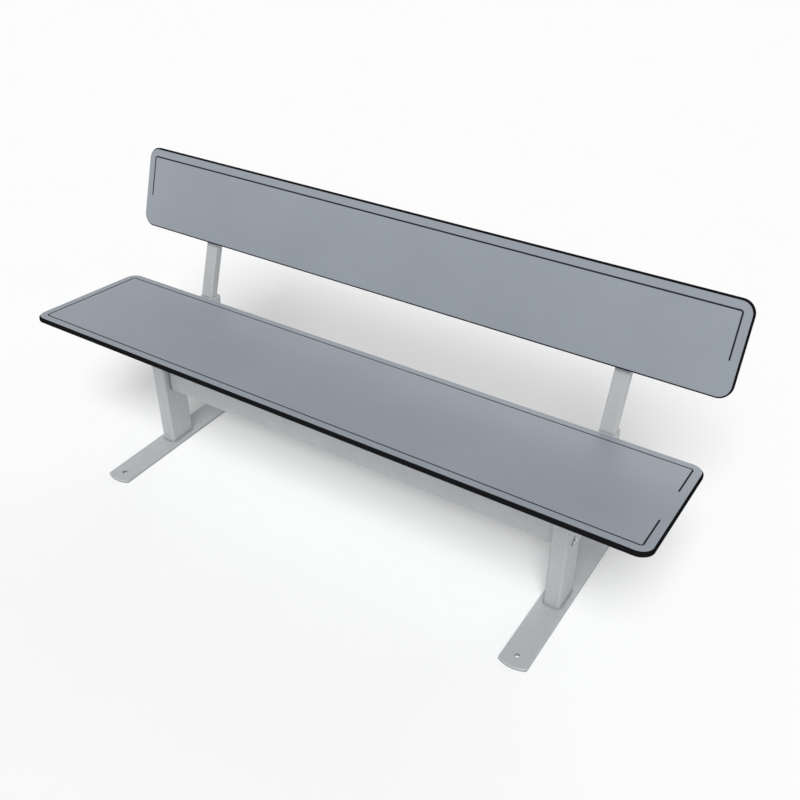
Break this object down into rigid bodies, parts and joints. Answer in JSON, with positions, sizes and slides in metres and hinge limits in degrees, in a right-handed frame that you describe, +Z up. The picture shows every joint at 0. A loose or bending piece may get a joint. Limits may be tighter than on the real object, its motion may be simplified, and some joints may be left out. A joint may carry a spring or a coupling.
{
  "type": "park bench",
  "caption": "Free-standing park bench with a flat laminate seat and leaning backrest on two steel side frames joined by a cross beam, with holes in the feet for ground anchors.",
  "frame": {"origin": "on the ground, in the middle of the rectangle of the four anchor holes, midway between the two legs", "axes": "+X along the bench to the sitter's left (to the right as seen from the front), +Y from front to back, +Z up"},
  "size_m": [1.8, 0.5984, 0.7827],
  "materials": {
    "laminate": "satin blue-grey compact laminate, black core on the cut edges and in the milled line",
    "galvanised_steel": "dull light grey galvanised",
    "stainless_fastener": "satin stainless",
    "black_plastic": "matt black"
  },
  "bodies": {
    "root": {"seat_panel": "laminate", "backrest_panel": "laminate", "seat_screws": "stainless_fastener", "backrest_screws": "stainless_fastener", "seat_front_rail": "galvanised_steel", "seat_rear_rail": "galvanised_steel", "backrest_lower_rail": "galvanised_steel", "backrest_upper_rail": "galvanised_steel", "post_caps": "black_plastic", "cross_beam": "galvanised_steel", "beam_plates": "galvanised_steel", "beam_bolts": "stainless_fastener", "beam_washers": "stainless_fastener", "left_foot": "galvanised_steel", "left_leg": "galvanised_steel", "left_seat_arm": "galvanised_steel", "left_back_post": "galvanised_steel", "left_arm_caps": "black_plastic", "right_foot": "galvanised_steel", "right_leg": "galvanised_steel", "right_seat_arm": "galvanised_steel", "right_back_post": "galvanised_steel", "right_arm_caps": "black_plastic"}
  },
  "joints": []
}
